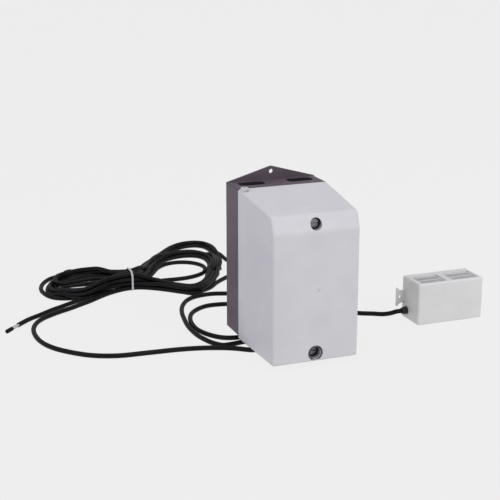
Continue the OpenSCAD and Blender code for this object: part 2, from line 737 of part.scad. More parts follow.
module sensor_board() color("#2f6b46") {
    difference() {
        block(sensor_x + 14, sensor_y + 24, 5, sensor_x + sensor_w - 6, sensor_y + 25.6, 50);
        for (x = [220, 278]) rod_y(x, 28, 1.6, sensor_y + 23, sensor_y + 27);
    }
}
module sensing_element() color("#b8bcc2") {
    for (x = [232, 262]) {
        translate([x, sensor_y + 21, 44]) cylinder(r = 3, h = 8);
        block(x - 2, sensor_y + 21, 44, x + 2, sensor_y + 24, 46);
    }
}
module sensor_terminal() color("#3c7a55") {
    block(212, sensor_y + 12, 7, 236, sensor_y + 24, 17);
}
module sensor_screws() color("#9b9da1") {
    for (x = [220, 278]) difference() {
        union() {
            rod_y(x, 28, 3, sensor_y + 22, sensor_y + 24);
            rod_y(x, 28, 1.6, sensor_y + 24, sensor_y + sensor_d - 1.5);
        }
        block(x - 2, sensor_y + 21, 27.6, x + 2, sensor_y + 22.8, 28.4);
    }
}

// ---- cords ----
module supply_lead() color("#1b191c") tube(supply_route, cord_r);
module supply_tail() color("#1b191c") tube(tail_route, cord_r);
module sensor_cord() color("#1b191c") tube(sensor_route, cord_r);
module hank_lobe(c, r, a, h) {
    linear_extrude(h) translate(c) rotate(a) polygon(ellipse([0, 0], r));
}
module supply_hank() color("#1b191c") {
    difference() {
        union() {
            hank_lobe(hank_right, hank_right_r, hank_right_a, hank_right_h);
            hank_lobe(hank_left, hank_left_r, hank_left_a, hank_left_h);
            block(waist_x[0], waist_y[0], 0, waist_x[1], waist_y[1], waist_h);
        }
        block(tie_x - 0.3, waist_y[0] - 1, -1, tie_x + tie_w + 0.3, waist_y[1] + 1, tie_t + 0.3);
    }
}
module hank_tie() color("#c9c7c9") {
    difference() {
        block(tie_x, waist_y[0] - tie_t - 0.3, 0.05, tie_x + tie_w, waist_y[1] + tie_t + 0.3,
            waist_h + tie_t + 0.3);
        block(tie_x - 1, waist_y[0] - 0.3, tie_t, tie_x + tie_w + 1, waist_y[1] + 0.3,
            waist_h + 0.3);
    }
}
// The stripped end lies along the last direction of the tail
tail_dir = unit(tail_route[6] - tail_route[5]);
tail_end = tail_route[6];
module along_tail(s0, s1, side, up, r) {
    a = atan2(tail_dir[1], tail_dir[0]);
    translate([tail_end[0], tail_end[1], tail_end[2] + up]) rotate([0, 0, a])
        translate([s0, side, 0]) rotate([0, 90, 0]) cylinder(r = r, h = s1 - s0, $fn = 24);
}
module stripped_cores() color("#c5c3c8") {
    for (k = [0:2])
        along_tail(0, 15, 1.5 * cos(120 * k + 30), 1.5 * sin(120 * k + 30), 1.2);
}
module core_sleeve() color("#1b191c") {
    along_tail(15, 28, 0, 0, 2.9);
}

// ---- assembly ----
rear_housing();
housing_walls();
cable_sill();
front_cover();
cover_seal();
hinge_pins();
entry_plugs();
cover_screw(upper_screw_z);  // cover_screw_upper
cover_screw(lower_screw_z);  // cover_screw_lower
screw_clip(upper_screw_z);  // screw_clip_upper
screw_clip(lower_screw_z);  // screw_clip_lower
cover_posts();
chassis_rear_plate();
chassis_front_plate();
chassis_pillars();
chassis_screws();
motor_can();
motor_end_cap();
motor_rotor();
gear_stage_2();
gear_stage_3();
output_gear();
gear_arbors();
output_bush_rear();
output_bush_front();
limit_cams();
open_limit_switch();
closed_limit_switch();
open_limit_lever();
closed_limit_lever();
circuit_board();
board_standoffs();
board_screws();
terminal_block();
terminal_screws();
transformer_core();
transformer_coil();
relays();
capacitor();
fuse_holder();
fuse();
motor_leads();
supply_relief();
sensor_relief();
sensor_case();
sensor_back();
sensor_grilles();
sensor_gland();
sensor_board();
sensing_element();
sensor_terminal();
sensor_screws();
supply_lead();
supply_hank();
hank_tie();
supply_tail();
stripped_cores();
core_sleeve();
sensor_cord();
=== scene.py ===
import json
import math

import bmesh
import bpy
import numpy as np
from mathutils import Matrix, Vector, kdtree


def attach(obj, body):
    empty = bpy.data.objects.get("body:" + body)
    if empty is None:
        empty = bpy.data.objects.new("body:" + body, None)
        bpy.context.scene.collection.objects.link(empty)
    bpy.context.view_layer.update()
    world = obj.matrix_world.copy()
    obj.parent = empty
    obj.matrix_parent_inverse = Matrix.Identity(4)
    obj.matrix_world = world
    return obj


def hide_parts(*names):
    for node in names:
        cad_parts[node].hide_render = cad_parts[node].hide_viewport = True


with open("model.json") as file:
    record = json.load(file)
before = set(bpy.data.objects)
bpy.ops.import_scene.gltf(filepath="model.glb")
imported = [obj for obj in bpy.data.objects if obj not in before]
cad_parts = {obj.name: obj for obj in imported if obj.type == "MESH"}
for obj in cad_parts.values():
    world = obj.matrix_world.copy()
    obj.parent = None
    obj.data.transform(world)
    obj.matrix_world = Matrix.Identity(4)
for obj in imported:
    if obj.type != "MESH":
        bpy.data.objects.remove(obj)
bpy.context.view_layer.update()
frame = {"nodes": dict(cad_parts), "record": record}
mm = 0.001
slotOf = {part["node"]: part["material_slot"] for part in frame["record"]["subparts"]}
print("frame loaded")


# camera
cameraSettings = {
    "place": (-0.58873, -1.36226, 0.55961),
    "tilt": 73.999,
    "pan": -21.161,
    "lens": 86.4,
    "sensor": 36,
    "clip": (0.05, 60),
}
cameraData = bpy.data.cameras.new("camera")
cameraData.lens = cameraSettings["lens"]
cameraData.sensor_width = cameraSettings["sensor"]
cameraData.clip_start, cameraData.clip_end = cameraSettings["clip"]
camera = bpy.data.objects.new("camera", cameraData)
camera.location = cameraSettings["place"]
camera.rotation_euler = (math.radians(cameraSettings["tilt"]), 0, math.radians(cameraSettings["pan"]))
bpy.context.scene.collection.objects.link(camera)
bpy.context.scene.camera = camera
print("camera placed")


# helpers for nodes, meshes and pieces
def colour(code):
    parts = [int(code[i : i + 2], 16) / 255 for i in (0, 2, 4)]
    linear = [c / 12.92 if c <= 0.04045 else ((c + 0.055) / 1.055) ** 2.4 for c in parts]
    return (*linear, 1)


def addNode(tree, kind, settings=None, links=None):
    node = tree.nodes.new(kind)
    for key, value in (settings or {}).items():
        if isinstance(key, int) or key in node.inputs:
            node.inputs[key].default_value = value
        else:
            setattr(node, key, value)
    for key, socket in (links or {}).items():
        tree.links.new(socket, node.inputs[key])
    return node


def newTree(holder):
    holder.use_nodes = True
    holder.node_tree.nodes.clear()
    return holder.node_tree


def noise(tree, size, detail, roughness, place):
    settings = {"Scale": 1 / (size * mm), "Detail": detail, "Roughness": roughness}
    return addNode(tree, "ShaderNodeTexNoise", settings, {"Vector": place}).outputs[0]


def spreadOut(tree, value, start, end, low=0, high=1):
    # low at the start value, high at the end value
    limits = {"From Min": start, "From Max": end, "To Min": low, "To Max": high}
    return addNode(tree, "ShaderNodeMapRange", limits, {"Value": value}).outputs[0]


def mixColours(tree, share, first, second):
    # each colour is a hex code or a socket
    settings = {"data_type": "RGBA"}
    links = {0: share}
    for key, value in ((6, first), (7, second)):
        if isinstance(value, str):
            settings[key] = colour(value)
        else:
            links[key] = value
    return addNode(tree, "ShaderNodeMix", settings, links).outputs[2]


def newObject(name, mesh):
    made = bpy.data.objects.new(name, mesh)
    bpy.context.scene.collection.objects.link(made)
    return made


def fromBmesh(name, build):
    mesh = bpy.data.meshes.new(name)
    bmesh.ops.remove_doubles(build, verts=build.verts, dist=1e-6)
    bmesh.ops.recalc_face_normals(build, faces=build.faces)
    build.to_mesh(mesh)
    build.free()
    return newObject(name, mesh)


def bake(item):
    # the evaluated shape, with its shading normals, becomes the mesh
    bpy.context.view_layer.update()
    graph = bpy.context.evaluated_depsgraph_get()
    mesh = bpy.data.meshes.new_from_object(item.evaluated_get(graph), depsgraph=graph)
    mesh.name = item.name
    item.modifiers.clear()
    item.data = mesh
    return item


def combine(item, tool, operation):
    step = item.modifiers.new("combine", "BOOLEAN")
    step.object = tool
    step.operation = operation
    step.solver = "EXACT"
    bake(item)
    bpy.data.objects.remove(tool)
    return item


def soften(item, width, segments=2, angle=35):
    # small edge radii, then normals weighted by face area
    item.data.shade_smooth()
    edge = item.modifiers.new("edge", "BEVEL")
    edge.width = width * mm
    edge.segments = segments
    edge.limit_method = "ANGLE"
    edge.angle_limit = math.radians(angle)
    edge.harden_normals = True
    edge.use_clamp_overlap = True
    weigh = item.modifiers.new("weigh", "WEIGHTED_NORMAL")
    weigh.keep_sharp = True
    return bake(item)


def roundEdges(build, rim, width):
    # every edge but those of the open rim, which lies beyond the given y
    edges = [edge for edge in build.edges if not all(vert.co.y > rim for vert in edge.verts)]
    bmesh.ops.bevel(
        build,
        geom=edges,
        offset=width * mm,
        offset_type="OFFSET",
        segments=5,
        profile=0.5,
        affect="EDGES",
        clamp_overlap=True,
        material=-1,
    )


def thicken(item, thickness):
    wall = item.modifiers.new("wall", "SOLIDIFY")
    wall.thickness = thickness * mm
    wall.offset = -1
    wall.use_even_offset = True
    return bake(item)


def copyNode(node, name):
    # a copy of a CAD node with its split vertices merged and flat faces joined
    build = bmesh.new()
    build.from_mesh(frame["nodes"][node].data)
    bmesh.ops.remove_doubles(build, verts=build.verts, dist=2e-6)
    bmesh.ops.dissolve_limit(build, angle_limit=math.radians(0.5), verts=build.verts, edges=build.edges)
    for face in build.faces:
        face.material_index = 0
    item = fromBmesh(name, build)
    item.data.materials.clear()
    return item


def rod(name, start, end, radius, sides=48):
    build = bmesh.new()
    a, b = Vector(start) * mm, Vector(end) * mm
    turn = (b - a).to_track_quat("Z", "Y").to_matrix().to_4x4()
    turn.translation = (a + b) / 2
    bmesh.ops.create_cone(
        build,
        cap_ends=True,
        segments=sides,
        radius1=radius * mm,
        radius2=radius * mm,
        depth=(b - a).length,
        matrix=turn,
    )
    return fromBmesh(name, build)


def brick(name, low, high):
    build = bmesh.new()
    bmesh.ops.create_cube(build, size=1)
    for vert in build.verts:
        vert.co = Vector([(low[i] + high[i]) / 2 + vert.co[i] * (high[i] - low[i]) for i in range(3)]) * mm
    return fromBmesh(name, build)


def finishPiece(item, body, slot, replaced=()):
    item.data.materials.clear()
    item.data.materials.append(materials[slot])
    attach(item, body)
    if replaced:
        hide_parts(*replaced)
    return item


def finishNode(node, name, edge, body, slot, segments=2):
    # the CAD node's own form with small edge radii
    return finishPiece(soften(copyNode(node, name), edge, segments, 40), body, slot, (node,))


# materials
bandScale = 0.314159  # scale of a wave texture that repeats once in a metre


def surfaceMaterial(s):
    material = bpy.data.materials.new(s["name"])
    tree = newTree(material)
    place = addNode(tree, "ShaderNodeTexCoord").outputs["Object"]
    stretch = {"operation": "MULTIPLY", 1: s.get("stretch", (1, 1, 1))}
    along = addNode(tree, "ShaderNodeVectorMath", stretch, {0: place}).outputs[0]
    grain = noise(tree, s["grain"], 3, 0.55, along)
    cloud = noise(tree, s["cloud"], 2, 0.5, place)
    tone = mixColours(tree, spreadOut(tree, cloud, 0.3, 0.7), s["base"], s["shade"])
    height = grain
    if "bands" in s:
        axis, pitch = s["bands"]
        bands = {
            "wave_type": "BANDS",
            "bands_direction": axis,
            "Scale": bandScale / (pitch * mm),
            "Distortion": s.get("wander", 0.2),
            "Detail": 1,
        }
        wave = addNode(tree, "ShaderNodeTexWave", bands, {"Vector": place}).outputs["Fac"]
        tone = mixColours(tree, wave, s["groove"], tone)
        fine = {"operation": "MULTIPLY_ADD", 1: 0.3}
        height = addNode(tree, "ShaderNodeMath", fine, {0: grain, 2: wave}).outputs[0]
    if "cells" in s:
        cells = {"feature": "F1", "Scale": 1 / (s["cells"] * mm)}
        spangle = addNode(tree, "ShaderNodeTexVoronoi", cells, {"Vector": place}).outputs["Color"]
        cell = addNode(tree, "ShaderNodeSeparateColor", None, {"Color": spangle}).outputs[0]
        tone = mixColours(tree, cell, tone, s["groove"])
    if "paintedRecessShade" in s:
        # painted shade: the colour turns darker down in the screw recesses, where ambient occlusion finds
        # them
        reach, dark = s["paintedRecessShade"]
        air = {"samples": 8, "Distance": reach * mm}
        openAir = addNode(tree, "ShaderNodeAmbientOcclusion", air).outputs["AO"]
        tone = mixColours(tree, spreadOut(tree, openAir, 0.4, 0.8), dark, tone)
    wear = spreadOut(tree, grain, 0.25, 0.75, *s["rough"])
    rounding = {"samples": 4, "Radius": s.get("edge", 0.25) * mm}
    rounded = addNode(tree, "ShaderNodeBevel", rounding).outputs[0]
    relief = {"Strength": s.get("relief", 0.2), "Distance": s.get("depth", 0.03) * mm}
    bump = addNode(tree, "ShaderNodeBump", relief, {"Height": height, "Normal": rounded}).outputs[0]
    surface = addNode(
        tree,
        "ShaderNodeBsdfPrincipled",
        {"Metallic": s.get("metal", 0.0), **s.get("more", {})},
        {"Base Color": tone, "Roughness": wear, "Normal": bump},
    )
    addNode(tree, "ShaderNodeOutputMaterial", None, {"Surface": surface.outputs[0]})
    return material


# lengths in millimetres; grain and cloud are the sizes of the fine and the broad noise
materialSettings = {
    "cover_grey": {
        "name": "polycarbonateSparkTextured",
        "base": "C9C8CB",
        "shade": "C4C3C7",
        "grain": 0.35,
        "cloud": 38,
        "rough": (0.42, 0.55),
        "relief": 0.12,
        "edge": 0.3,
        # painted shade in the screw recesses: occlusion reach in millimetres, and the dark colour painted
        # there
        "paintedRecessShade": (11, "4A484C"),
        "more": {"Specular IOR Level": 0.42, "Subsurface Weight": 0.04, "Subsurface Scale": 0.001},
    },
    "housing_dark": {
        "name": "polyamideMouldedMatt",
        "base": "574A55",
        "shade": "4F434E",
        "grain": 0.5,
        "cloud": 30,
        "rough": (0.45, 0.6),
        "relief": 0.25,
        "more": {"Specular IOR Level": 0.4},
    },
    "rubber_black": {
        "name": "nitrileRubberMoulded",
        "base": "0B0A0B",
        "shade": "110F11",
        "grain": 0.6,
        "cloud": 9,
        "rough": (0.7, 0.9),
        "relief": 0.3,
        "more": {"Specular IOR Level": 0.12},
    },
    "zinc_steel": {
        "name": "steelZincPlated",
        "base": "8B8D91",
        "shade": "7A7C80",
        "grain": 0.25,
        "cloud": 3,
        "rough": (0.28, 0.45),
        "metal": 1.0,
        "edge": 0.15,
    },
    "spring_steel": {
        "name": "springSteelRolled",
        "base": "A9ABAF",
        "shade": "96989D",
        "grain": 0.3,
        "stretch": (1, 1, 6),
        "cloud": 4,
        "rough": (0.22, 0.4),
        "metal": 1.0,
        "edge": 0.1,
    },
    "turned_aluminium": {
        "name": "aluminiumTurned",
        "base": "C9CBCE",
        "shade": "BFC1C5",
        "grain": 0.4,
        "stretch": (1, 8, 1),
        "cloud": 6,
        "rough": (0.25, 0.4),
        "metal": 1.0,
        "bands": ("Y", 0.8),
        "groove": "B5B7BB",
        "depth": 0.01,
    },
    "chassis_steel": {
        "name": "steelSheetGalvanised",
        "base": "B9BCC0",
        "shade": "ADB1B6",
        "grain": 0.3,
        "cloud": 20,
        "rough": (0.3, 0.46),
        "metal": 1.0,
        "cells": 5,
        "groove": "A2A6AC",
        "relief": 0.1,
    },
    "brass": {
        "name": "brassTurnedHexagonStock",
        "base": "C9AE62",
        "shade": "BA9C50",
        "grain": 0.3,
        "cloud": 6,
        "rough": (0.22, 0.38),
        "metal": 1.0,
    },
    "rotor_steel": {
        "name": "electricalSteelLaminated",
        "base": "6B6E73",
        "shade": "595C61",
        "grain": 0.3,
        "cloud": 6,
        "rough": (0.35, 0.5),
        "metal": 1.0,
        "bands": ("Y", 0.5),
        "groove": "4A4C50",
        "depth": 0.04,
    },
    "moulded_black": {
        "name": "phenolicMouldedBlack",
        "base": "232326",
        "shade": "2B2B2F",
        "grain": 0.4,
        "cloud": 8,
        "rough": (0.35, 0.5),
    },
    "acetal_cream": {
        "name": "acetalMouldedNatural",
        "base": "E8E2D0",
        "shade": "DDD6C2",
        "grain": 0.5,
        "cloud": 14,
        "rough": (0.32, 0.45),
        "more": {"Subsurface Weight": 0.15, "Subsurface Scale": 0.001},
    },
    "output_brass": {
        "name": "brassHobbedGear",
        "base": "CBAA5A",
        "shade": "B8954A",
        "grain": 0.3,
        "cloud": 12,
        "rough": (0.24, 0.4),
        "metal": 1.0,
    },
    "bronze": {
        "name": "bronzeSintered",
        "base": "A37B45",
        "shade": "8E6A3A",
        "grain": 0.2,
        "cloud": 3,
        "rough": (0.45, 0.62),
        "metal": 1.0,
        "relief": 0.4,
    },
    "board_green": {
        "name": "glassEpoxyWithSolderMask",
        "base": "2E6B45",
        "shade": "286040",
        "grain": 0.4,
        "cloud": 12,
        "rough": (0.25, 0.38),
        "bands": ("DIAGONAL", 3.2),
        "groove": "3F8055",
        "wander": 2.5,
        "depth": 0.03,
    },
    "terminal_green": {
        "name": "polyamideTerminalBody",
        "base": "3F7F58",
        "shade": "37714E",
        "grain": 0.4,
        "cloud": 7,
        "rough": (0.38, 0.52),
    },
    "coil_amber": {
        "name": "copperWindingUnderTape",
        "base": "C08A3A",
        "shade": "AF7A30",
        "grain": 0.3,
        "cloud": 8,
        "rough": (0.22, 0.36),
        "bands": ("X", 1.1),
        "groove": "8E5E24",
        "depth": 0.08,
    },
    "relay_blue": {
        "name": "polyesterRelayCaseGloss",
        "base": "2C5FA8",
        "shade": "275596",
        "grain": 0.5,
        "cloud": 10,
        "rough": (0.14, 0.24),
        "relief": 0.06,
    },
    "fuse_glass": {
        "name": "sodaGlassTubeDrawn",
        "base": "E3E8EA",
        "shade": "D8DEE1",
        "grain": 0.5,
        "cloud": 5,
        "rough": (0.04, 0.1),
        "relief": 0.03,
        "more": {"Transmission Weight": 0.75},
    },
    "wire_red": {
        "name": "vinylInsulationExtruded",
        "base": "A12A2A",
        "shade": "902424",
        "grain": 0.4,
        "cloud": 5,
        "rough": (0.3, 0.42),
    },
    "sensor_grey": {
        "name": "styreneMouldedFine",
        "base": "D3D3D3",
        "shade": "CECECE",
        "grain": 0.35,
        "cloud": 30,
        "rough": (0.42, 0.55),
        "relief": 0.12,
        "edge": 0.3,
    },
    "grille_grey": {
        "name": "styreneGrilleDusty",
        "base": "CFCFD0",
        "shade": "C6C6C8",
        "grain": 0.35,
        "cloud": 9,
        "rough": (0.5, 0.65),
        "edge": 0.1,
    },
    "gland_black": {
        "name": "polyamideGlandMoulded",
        "base": "0D0B0D",
        "shade": "131114",
        "grain": 0.3,
        "cloud": 5,
        "rough": (0.38, 0.52),
    },
    "element_metal": {
        "name": "stainlessCapsuleDrawn",
        "base": "BFC2C6",
        "shade": "B0B4B9",
        "grain": 0.25,
        "stretch": (1, 1, 5),
        "cloud": 4,
        "rough": (0.18, 0.32),
        "metal": 1.0,
    },
    "cord_black": {
        "name": "vinylSheathExtruded",
        "base": "050304",
        "shade": "0C080B",
        "grain": 0.8,
        "cloud": 22,
        "rough": (0.4, 0.55),
        "relief": 0.25,
        "edge": 0.05,
        "more": {"Specular IOR Level": 0.17},
    },
    "tie_grey": {
        "name": "nylonStrapMoulded",
        "base": "C6C3C6",
        "shade": "B9B6BA",
        "grain": 0.3,
        "cloud": 6,
        "rough": (0.32, 0.46),
        "edge": 0.1,
    },
    "core_grey": {
        "name": "coreInsulationExtruded",
        "base": "BDBBC0",
        "shade": "AFADB3",
        "grain": 0.4,
        "cloud": 4,
        "rough": (0.36, 0.5),
        "edge": 0.05,
    },
}
materials = {slot: surfaceMaterial(s) for slot, s in materialSettings.items()}
for nodeName, node in frame["nodes"].items():
    node.data.materials.clear()
    node.data.materials.append(materials[slotOf[nodeName]])
print("materials made")


# cords
# the tie stands at one x and reaches a little to both sides of it; its window is a range of y and of z,
# and its slots are the places of the strands in that window
cordSettings = {
    "radius": 3.3,
    "floor": 3.4,
    "layer": 5.8,
    "step": 2.4,
    "turns": 8,
    "tie": -131,
    "reach": 6,
    "window": (311, 339, 1.3, 29.2),
    "corner": 9,
    "slotStart": (314.6, 3.9),
    "slotPitch": (6.3, 6.9),
    "slotShift": 2.1,
    "sideFrom": 0.35,
    "farFrom": 0.5,
    "change": 0.15,
    "overTail": (7, 9),
}
# the strands are pushed apart to the gap, sag and are smoothed, in rounds
# the first and last points are held as drawn, and a strand sags where it is free of the tie
settleSettings = {
    "step": 4.5,
    "rounds": 110,
    "quickRounds": 30,
    "gap": 6.65,
    "along": 4,
    "push": 0.8,
    "sag": 0.04,
    "smoothings": 3,
    "smooth": 0.5,
    "keep": 0.03,
    "heldStart": 160,
    "heldEnd": 24,
    "freeFrom": 15,
    "freeOver": 60,
}
leadRoute = [
    (-46, 4, 3.5), (-57, 5), (-69, 14), (-83, 23), (-99, 30), (-120, 36.5), (-145, 41), (-184, 44),
    (-226, 48), (-256, 61), (-279, 82), (-296, 105), (-306, 131), (-309, 160), (-306, 188), (-298, 209),
    (-285, 226), (-262, 243), (-240, 255.5), (-222, 267), (-205, 278), (-190, 289.5), (-172, 302.5),
    (-150, 313),
]
tailRoute = [
    (-152, 326, 4), (-170, 314.5), (-188, 304), (-205, 294.5), (-221, 285.5), (-236, 277), (-249, 268.5),
    (-267, 257), (-284, 244), (-305, 229), (-323, 211),
]
sensorRoute = [
    (-46, 38, 3.5), (-60, 37), (-74, 35), (-86, 35.5), (-96, 49), (-101, 64), (-104.5, 80), (-106, 100),
    (-105, 125), (-101, 153), (-95, 182), (-86, 207), (-73, 228), (-59, 240), (-44, 245), (-28, 246),
    (-10, 241), (14, 231), (36, 212), (49, 186), (51, 157), (42, 128), (24, 105), (2, 86), (-20, 69),
    (-40, 58), (-58, 56), (-74, 61), (-85, 72), (-93, 87), (-97.5, 103), (-98, 122), (-94, 147), (-84, 171),
    (-69, 187), (-51, 196), (-30, 195), (-6, 187, 3.6), (16, 177, 6.2), (36, 165, 9.8), (51, 155, 10.6),
    (68, 145, 8.6), (90, 128, 4.6), (116, 104), (140, 86), (156, 78), (167, 69, 4.2), (174, 59, 8),
    (179, 52, 12), (186, 50, 13),
]

# each turn runs between an outer and an inner line; "wide" and "single" turns have lines of their own
rightOuter = [
    (-110, 309), (-87, 291), (-68, 271), (-50, 255), (-32, 261), (-11, 288), (9, 322), (23, 361), (41, 402),
    (51, 446), (52, 486), (41, 511), (13, 510), (-17, 488), (-50, 447), (-90, 396), (-113, 351),
]
rightInner = [
    (-107, 325), (-88, 320), (-70, 307), (-55, 294), (-40, 292), (-22, 311), (-5, 342), (9, 366), (19, 388),
    (25, 415), (20, 441), (3, 452), (-18, 451), (-41, 442), (-64, 420), (-88, 378), (-110, 344),
]
rightSingle = [
    (-108, 320), (-95, 332), (-74, 336), (-50, 334), (-24, 339), (-4, 352), (6, 370), (7, 385), (3, 400),
    (-8, 414), (-24, 421), (-43, 419), (-63, 403), (-87, 366), (-108, 340),
]
rightWide = [
    (-110, 309), (-86, 291), (-66, 271), (-48, 256), (-30, 271), (-11, 288), (7, 304), (24, 318), (40, 332),
    (53, 350), (58, 373), (55, 401), (54, 427), (52, 450), (52, 487), (42, 512), (12, 511), (-18, 492),
    (-54, 455), (-87, 416), (-112, 356),
]
leftOuter = [
    (-156, 352), (-176, 392), (-197, 418), (-214, 411), (-231, 391), (-247, 366), (-253, 340), (-244, 311),
    (-218, 294), (-185, 304), (-158, 317),
]
leftInner = [
    (-154, 338), (-172, 350), (-190, 355), (-208, 358), (-223, 357), (-232, 348), (-229, 337), (-215, 331),
    (-197, 329), (-178, 330), (-156, 330),
]
leftWide = [
    (-156, 350), (-177, 384), (-202, 414), (-229, 412), (-247, 394), (-258, 370), (-261, 344), (-252, 316),
    (-231, 301.5), (-200, 302), (-160, 316),
]
leftHigh = [
    (-155, 346), (-174, 380), (-193, 409), (-212, 412), (-229, 396), (-238, 371), (-233, 352), (-212, 341),
    (-190, 340), (-168, 333), (-154, 325),
]
# share of the way from the outer to the inner line, and layer, by turn
nearPlace = [(0, 0), (0.11, 1), (0.22, 0), (0.33, 1), (0.44, 0), (0.55, 1), (0.66, 0), (1, 0)]
sidePlace = [(0, 0), (0, 0), (0.25, 1), (0.5, 0), (0.5, 2), (0.75, 1), (1, 0), (1, 0)]
farPlace = [(0, 0), (0.06, 1), (0.1, 0), (0.8, 1), (0.87, 0), (0.94, 1), (1, 0), (1, 0)]
leftPlace = [
    (leftWide, 0, 0), (leftOuter, 0, 0), (leftOuter, 0.15, 1), (leftOuter, 0.3, 0), (leftHigh, 0.2, 2),
    (leftOuter, 0.6, 1), (leftOuter, 0.95, 0),
]
# share of the bundle's height that a turn's first and last points take
rightEase = ((0.6, 0.15), (0.75, 0.3, 0.08))
leftEase = ((0.9, 0.6, 0.3, 0.1), (0.9, 0.6, 0.3, 0.1))


def throughPoints(route, fine=10):
    # a centripetal spline; a point given without a height lies on the floor
    p = [Vector((*q, cordSettings["floor"]) if len(q) == 2 else q) for q in route]
    p = [2 * p[0] - p[1], *p, 2 * p[-1] - p[-2]]
    made = []
    for a, b, c, d in zip(p, p[1:], p[2:], p[3:]):
        t0 = 0
        t1 = t0 + (b - a).length ** 0.5
        t2 = t1 + (c - b).length ** 0.5
        t3 = t2 + (d - c).length ** 0.5
        for i in range(fine):
            t = t1 + (t2 - t1) * i / fine
            ab = a * ((t1 - t) / (t1 - t0)) + b * ((t - t0) / (t1 - t0))
            bc = b * ((t2 - t) / (t2 - t1)) + c * ((t - t1) / (t2 - t1))
            cd = c * ((t3 - t) / (t3 - t2)) + d * ((t - t2) / (t3 - t2))
            abc = ab * ((t2 - t) / (t2 - t0)) + bc * ((t - t0) / (t2 - t0))
            bcd = bc * ((t3 - t) / (t3 - t1)) + cd * ((t - t1) / (t3 - t1))
            made.append(abc * ((t2 - t) / (t2 - t1)) + bcd * ((t - t1) / (t2 - t1)))
    made.append(p[-2])
    return np.array([list(q) for q in made])


def evenly(points, step):
    run = np.concatenate([[0], np.cumsum(np.linalg.norm(np.diff(points, axis=0), axis=1))])
    at = np.linspace(0, run[-1], max(3, round(run[-1] / step) + 1))
    return np.stack([np.interp(at, run, points[:, i]) for i in range(3)], 1)


def tieSlot(column, row):
    s = cordSettings
    y, z = s["slotStart"]
    return (y + s["slotPitch"][0] * column + s["slotShift"] * (row % 2), z + s["slotPitch"][1] * row)


def turnSlot(turn, early, late):
    # the first half of the turns goes up its column, the rest comes down the next one
    turns = cordSettings["turns"]
    return tieSlot(early, turn) if turn < turns // 2 else tieSlot(late, turns - 1 - turn)


def turnStart(turn):
    return turnSlot(turn, 0, 1)


def turnEnd(turn):
    return turnSlot(turn, 3, 2)


def eased(line, start, end, ease):
    # near the tie, the strands rise to their places in the bundle
    for order, height, shares in ((1, start[1], ease[0]), (-1, end[1], ease[1])):
        for i, share in enumerate(shares):
            at = i if order > 0 else -1 - i
            x, y, z = line[at]
            line[at] = (x, y, z * (1 - share) + height * share)
    return line


def rightTurn(turn):
    s = cordSettings
    if turn in (0, s["turns"] - 1):
        line = [(x, y, s["floor"]) for x, y in (rightSingle if turn else rightWide)]
        return eased(line, turnStart(turn), turnEnd(turn), rightEase)
    line = []
    for i, (outer, inner) in enumerate(zip(rightOuter, rightInner)):
        along = i / (len(rightOuter) - 1)
        if along < s["farFrom"]:
            first, second, begin = nearPlace, sidePlace, s["sideFrom"]
        else:
            first, second, begin = sidePlace, farPlace, s["farFrom"]
        t = min(1, max(0, (along - begin) / s["change"]))
        share = first[turn][0] * (1 - t) + second[turn][0] * t
        layer = first[turn][1] * (1 - t) + second[turn][1] * t
        x, y = (outer[j] * (1 - share) + inner[j] * share for j in (0, 1))
        line.append((x, y, s["floor"] + s["layer"] * layer))
    return eased(line, turnStart(turn), turnEnd(turn), rightEase)


def leftTurn(turn):
    s = cordSettings
    rail, share, layer = leftPlace[turn]
    low, high = s["overTail"]
    line = []
    for i, (outer, inner) in enumerate(zip(rail, leftInner)):
        x, y = (outer[j] * (1 - share) + inner[j] * share for j in (0, 1))
        # every turn but the first lies over the cord's free end
        over = s["layer"] if low <= i <= high and turn else 0
        line.append((x, y, s["floor"] + s["layer"] * layer + over))
    return eased(line, turnEnd(turn), turnStart(turn + 1), leftEase)


def drawnSupply():
    s = cordSettings
    route = list(leadRoute)
    right, left = s["tie"] + s["reach"], s["tie"] - s["reach"]
    for turn in range(s["turns"]):
        y, z = turnStart(turn)
        route += [(left, y, z), (right, y, z), *rightTurn(turn)]
        y, z = turnEnd(turn)
        route += [(right, y, z), (left, y, z)]
        if turn < s["turns"] - 1:
            route += leftTurn(turn)
    return evenly(throughPoints(route + tailRoute), settleSettings["step"])


def closePairs(points):
    # pairs of points nearer than the gap that aren't neighbours along the strand
    s = settleSettings
    tree = kdtree.KDTree(len(points))
    for i, q in enumerate(points):
        tree.insert(q, i)
    tree.balance()
    found = [
        (i, j) for i, q in enumerate(points) for _, j, _ in tree.find_range(q, s["gap"]) if j > i + s["along"]
    ]
    return np.array(found, int).reshape(-1, 2)


def insideTie(points):
    # the tie holds the strands in its window and its rounded near top corner
    s = cordSettings
    low, high, base, top = s["window"]
    radius, corner = s["radius"], s["corner"]
    tied = np.abs(points[:, 0] - s["tie"]) < s["reach"]
    points[tied, 1] = np.clip(points[tied, 1], low + radius, high - radius)
    points[tied, 2] = np.clip(points[tied, 2], base + radius, top - radius)
    away = points[:, 1:] - (low + corner, top - corner)
    reach = np.linalg.norm(away, axis=1)
    out = tied & (away[:, 0] < 0) & (away[:, 1] > 0) & (reach > corner - radius)
    points[out, 1:] -= away[out] * (1 - (corner - radius) / reach[out])[:, None]


